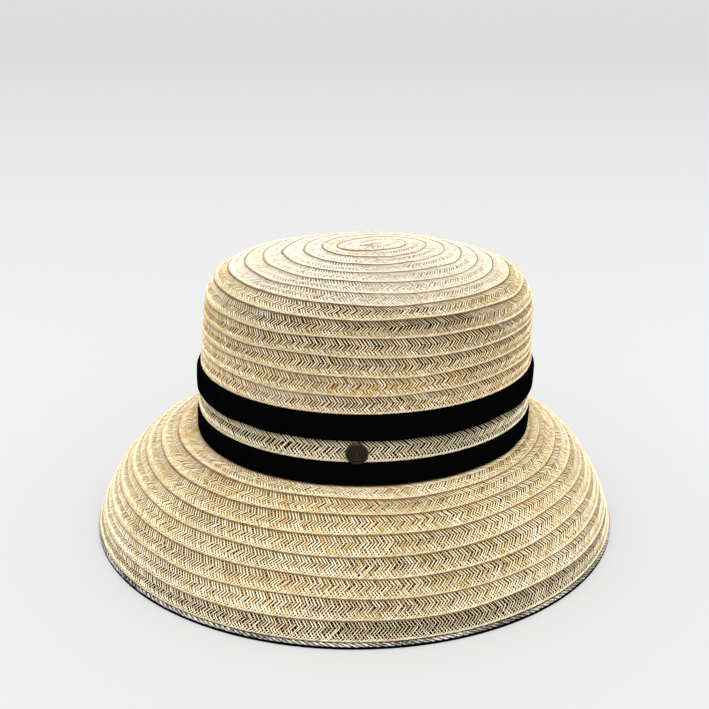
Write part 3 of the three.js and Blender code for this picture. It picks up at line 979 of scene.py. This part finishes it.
def ribbon(name, node_name, bottom, top, tuck, seed):
    """Comes out from under the straw above, swells over the band and turns in below."""
    proud, wall = RIBBON_PROUD, RIBBON_WALL
    section = [round_band(proud - wall, bottom + RIBBON_FOOT)]
    scale = (top - bottom) / RIBBON_OUTLINE_HEIGHT
    section += [round_band(proud * out, bottom + up * scale) for up, out in RIBBON_OUTLINE]
    section += [round_band(tuck, top - GAP), round_band(tuck, top + LAP - GAP),
                round_band(tuck - wall, top + LAP - GAP),
                round_band(tuck - wall, top - 4 * GAP),
                round_band(proud - wall, top - RIBBON_SWELL - GAP)]
    made = drawn_ring(name, section)
    cloth_maps(made, section)
    pucker, sag = soft_waves(seed, RIBBON_PUCKER), soft_waves(seed + 1, RIBBON_SAG)

    def ripple(angle, height):
        share = np.clip((top - height) / (top - bottom), 0, 1)
        return pucker(angle + 2 * share) * share, sag(angle) * share

    bend_to_hat(made, ripple)
    made.data.materials.append(black_ribbon)
    return wear(made, "black_ribbon", node_name)


def ribbons():
    under_row = ROW_STEP - STRAW_WALL - GAP
    ribbon("upper_band", "upper_ribbon", BRAID_TOP_Z, UPPER_TOP_Z,
           under_row - CROWN_SET_IN, seed=21)
    ribbon("lower_band", "lower_ribbon", BRIM_SEAM_Z + GAP, LOWER_TOP_Z, under_row, seed=31)


def inner_band():
    """The band inside the head opening, folded over at both edges."""
    outside, inside = -SWEATBAND_SET_IN, -SWEATBAND_SET_IN - SWEATBAND_WALL
    low, high = (corner.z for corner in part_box("sweatband"))
    fold, swell = 3 * MM, 0.15 * MM
    section = [round_band(outside, low + swell), round_band(outside, high - swell),
               round_band((inside + outside) / 2, high), round_band(inside, high - swell),
               round_band(inside, high - fold), round_band(inside + swell, high - fold - swell),
               round_band(inside + swell, low + fold + swell), round_band(inside, low + fold),
               round_band(inside, low + swell), round_band((inside + outside) / 2, low)]
    made = drawn_ring("inner_band", section)
    cloth_maps(made, section)
    bend_to_hat(made)
    made.data.materials.append(black_ribbon)
    wear(made, "black_ribbon", "sweatband")


def rim_facing():
    """Black ribbon inside the last row, turned under the rolled edge."""
    outside = -STRAW_WALL - GAP
    inside = outside - FACING_WALL
    ankle = BRIM_LENGTH - 3 * FACING_FOOT
    heights = np.linspace(BRIM_LENGTH - FACING_HEIGHT, ankle, 5)
    foot = RIM_HALF_WIDTH + EDGE_RADIUS / 4
    section = [tuple(brim_line.at(s, inside)) for s in heights]
    section += [(RIM_HALF_WIDTH + inside, 0), (foot - FACING_ROUND, 0), (foot, FACING_ROUND),
                (foot, FACING_FOOT - FACING_ROUND), (foot - FACING_ROUND, FACING_FOOT),
                (RIM_HALF_WIDTH + outside, FACING_FOOT)]
    section += [tuple(brim_line.at(s, outside)) for s in heights[::-1]]
    section = [(float(r), float(z)) for r, z in section]
    made = drawn_ring("rim_facing", section, segments=360)
    cloth_maps(made, section)
    bend_to_hat(made)
    made.data.materials.append(black_ribbon)
    wear(made, "black_ribbon", "under_brim_ribbon")


# The rolled edge's cord, and how its maps are laid.
PLIES, TWISTS, STEPS_IN_TWIST, PLY_SIDES = 3, 92, 12, 5
PLY_RADIUS, PLY_OFF, PLY_SWELL = 0.52 * MM, 0.56 * MM, 0.17
# Painted shade darkens the clefts between the plies, and painted light lightens their outer sides.
# The whole edge also gets painted shade, which varies round the rim.
CLEFT_SHADE, PLY_LIGHT = 2.3, 2.2       # dark between the plies, and light outside
EDGE_SHADE, EDGE_SHADE_SWAY = 0.22, 0.2       # the shade all over, and how much it varies
PLY_STEP_LENGTH, PLY_SIDE_LENGTH = 0.6 * MM, 0.7 * MM
PLY_LINES = 4                   # rows of the bake's map for each ply


def rolled_edge():
    """The pale edge of the last row: three plies twisted into a cord, with painted shade between
    the plies and over the edge.
    """
    centre = brim_line.at(BRIM_LENGTH - FACING_FOOT - GAP - EDGE_RADIUS, 0)
    stations = TWISTS * STEPS_IN_TWIST
    turn = np.arange(stations) / stations * TURN
    side = np.arange(PLY_SIDES) / PLY_SIDES * TURN
    rng, shade_waves = np.random.default_rng(41), soft_waves(43, 1, count=24)
    i, j = np.meshgrid(np.arange(stations), np.arange(PLY_SIDES), indexing="ij")
    after, beside = (i + 1) % stations, (j + 1) % PLY_SIDES
    quads = np.stack([i * PLY_SIDES + j, after * PLY_SIDES + j, after * PLY_SIDES + beside,
                      i * PLY_SIDES + beside], -1).reshape(-1, 4)
    points, faces, painted_shade = [], [], []
    for ply in range(PLIES):
        lead = -TWISTS * turn + ply * TURN / PLIES
        swell = PLY_RADIUS * (1 + PLY_SWELL * rng.normal(0, 1, stations).clip(-2, 2))
        out = PLY_OFF * np.cos(lead)[:, None] + swell[:, None] * np.cos(side)
        up = PLY_OFF * np.sin(lead)[:, None] + swell[:, None] * np.sin(side)
        outward = np.hypot(out, up) / (PLY_OFF + PLY_RADIUS)
        # Painted shade all over the edge, varying round the rim.
        shadow = EDGE_SHADE + EDGE_SHADE_SWAY * shade_waves(turn)[:, None]
        painted_shade.append((CLEFT_SHADE - PLY_LIGHT * outward + shadow).clip(0, 1).ravel())
        points.append(to_hat(centre[0] + out, turn[:, None] * np.ones(PLY_SIDES),
                             centre[1] + up).reshape(-1, 3))
        faces.append(quads[:, ::-1] + ply * stations * PLY_SIDES)
    mesh = bpy.data.meshes.new("rolled_edge")
    mesh.from_pydata(np.concatenate(points).tolist(), [], np.concatenate(faces).tolist())
    mesh.polygons.foreach_set("use_smooth", np.ones(len(mesh.polygons), bool))
    set_attribute(mesh, "tone", rng.uniform(0.1, 0.6, len(mesh.vertices)))
    set_attribute(mesh, "painted_shade", np.concatenate(painted_shade))

    length = np.stack([i, i + 1, i + 1, i], -1).reshape(-1, 4)[:, ::-1]
    rounds = np.stack([j, j, j + 1, j + 1], -1).reshape(-1, 4)[:, ::-1]
    steps, girth = np.tile(length, (PLIES, 1)), np.tile(rounds, (PLIES, 1))
    set_map(mesh, "straw", steps.ravel() * PLY_STEP_LENGTH, girth.ravel() * PLY_SIDE_LENGTH)
    in_line = stations // PLY_LINES
    own_line = length.min(1) // in_line
    line = np.concatenate([own_line + ply * PLY_LINES for ply in range(PLIES)])[:, None]
    along = steps - np.tile(own_line * in_line, PLIES)[:, None]
    set_map(mesh, "OFBake", (along / in_line).ravel(),
            ((line + CELL_FILL * girth / PLY_SIDES) / (PLIES * PLY_LINES)).ravel())
    mesh.materials.append(pale_straw)
    wear(add_object("rolled_edge", mesh), "pale_straw", "brim_edge")


# The badge's face from its back edge to its middle: how far each step goes up, as a share of
# its thickness, and the step's new radius, as a share of the badge's.
BADGE_STEPS = [(0.15, 1), (0.55, 1), (0.25, 0.95), (0.05, 0.9), (-0.02, 0.84), (-0.4, 0.8),
               (0, 0.7), (0.28, 0.66), (0, 0.58), (-0.28, 0.54), (0, 0.44), (0.26, 0.4),
               (0, 0.32), (-0.26, 0.28), (0, 0.2), (0.3, 0.16), (0.04, 0.06)]
BADGE_BACK, BADGE_FIELD = 0.94, 0.82    # radii of its back and of its ringed field
BADGE_FLOOR = 0.66              # height of the field's floor, as a share of its thickness


def badge():
    """A small cast disc with a raised rim, plain rings and a boss. It faces the camera, and its
    field below the floor has painted recess shade.
    """
    low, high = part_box("badge")
    radius, thick = (high.x - low.x) / 2, high.y - low.y
    start_clean()
    bpy.ops.mesh.primitive_circle_add(vertices=72, radius=radius * BADGE_BACK,
                                      fill_type="NGON")
    bpy.ops.object.mode_set(mode="EDIT")
    bpy.ops.mesh.select_all(action="SELECT")
    share, height = BADGE_BACK, 0.0
    for up, to in BADGE_STEPS:
        bpy.ops.mesh.extrude_region_move(TRANSFORM_OT_translate={"value": (0, 0, up * thick)})
        height += up * thick
        bpy.ops.transform.resize(value=(to / share, to / share, 1),
                                 center_override=(0, 0, height))
        share = to
    bpy.ops.mesh.select_all(action="SELECT")
    bpy.ops.mesh.normals_make_consistent(inside=False)
    bpy.ops.object.mode_set(mode="OBJECT")
    made = bpy.context.object
    made.name = made.data.name = "ringed_badge"
    made.rotation_euler = (math.pi / 2, 0, 0)
    made.location = ((low.x + high.x) / 2, high.y, (low.z + high.z) / 2)
    bpy.ops.object.transform_apply(location=True, rotation=True, scale=True)
    bpy.ops.object.shade_smooth_by_angle(angle=math.radians(50))
    made.data.materials.append(bronze)
    made.data.materials.append(recess_shade)
    # Painted shade: the field's faces below its floor take the dark recess finish.
    floor_at = high.y - BADGE_FLOOR * thick
    for face in made.data.polygons:
        middle = face.center
        apart = math.hypot(middle.x - (low.x + high.x) / 2, middle.z - (low.z + high.z) / 2)
        face.material_index = int(middle.y > floor_at and apart < BADGE_FIELD * radius)
    wear(made, "dark_bronze", "badge")


straw_fibre = straw_fibre_group()
woven_ribs = woven_ribs_group()
# Each straw finish's third colour is painted shade, mixed in where the straws' attribute marks it.
STRAW_PAINTED_SHADE = (0.11, 0.055, 0.016)
straw = straw_finish("natural straw", (1.0, 0.92, 0.69), (0.62, 0.39, 0.11), STRAW_PAINTED_SHADE)
# Painted shade: the same straw, with near-black painted shade where its straws lie under others and
# inside.
black_shaded_straw = straw_finish("straw with near-black painted shade", (1.0, 0.87, 0.61), (0.6, 0.37, 0.1),
                          (0.012, 0.009, 0.006))
# Painted light: the tip's straw is paler and greyer, standing for the strong light from above.
top_lit_straw = straw_finish("straw paled by painted top light", (0.9, 0.835, 0.7), (0.64, 0.47, 0.24),
                            (0.085, 0.05, 0.022))
selvage = straw_finish("straw selvage", (1.0, 0.93, 0.72), (0.68, 0.46, 0.18), STRAW_PAINTED_SHADE,
                       streaks=0.4)
pale_straw = straw_finish("bleached straw", (0.78, 0.73, 0.65), (0.36, 0.32, 0.25),
                          (0.02, 0.017, 0.014))
# Seam threads: real stitching. Above the rim, the brown and tan colours are also painted shade in
# the seam's groove, and the rim's black thread is its real stitching.
brown_thread_and_seam_shade = straw_finish("brown thread and painted seam shade", (0.42, 0.23, 0.08), (0.19, 0.095, 0.03),
                            (0.02, 0.01, 0.005))
tan_thread_and_seam_shade = straw_finish("tan thread and painted seam shade", (0.32, 0.2, 0.075), (0.14, 0.08, 0.028),
                          (0.05, 0.03, 0.01))
black_thread = straw_finish("black thread", (0.012, 0.01, 0.009), (0.004, 0.004, 0.004),
                            (0.002, 0.002, 0.002))
black_ribbon = ribbon_finish("black grosgrain")
bronze = bronze_finish("aged bronze", (0.045, 0.031, 0.015), (0.006, 0.005, 0.003))
recess_shade = bronze_finish("bronze with painted recess shade", (0.006, 0.005, 0.004), (0.002, 0.002, 0.002))

camera()
studio_light()
floor()
shade_under_hat()
braid_fold = drawn_strand(STRAW_SIDES, [
    (0, -0.62 * MM, 0.7 * FOLD_WIDTH, 0.3 * MM),
    (FOLD_LENGTH / 2, -0.4 * MM, FOLD_WIDTH, 0.34 * MM),
    (FOLD_LENGTH, -0.42 * MM, 0.7 * FOLD_WIDTH, 0.26 * MM)])
braid_fold.painted_shade *= FOLD_SHADE
thread_span = drawn_strand(STRAW_SIDES, [(0, 0, MM, MM), (2.5 * MM, 0, MM, MM)])
crown_rows()
brim_rows()
middle_row()
ribbons()
inner_band()
rim_facing()
rolled_edge()
badge()
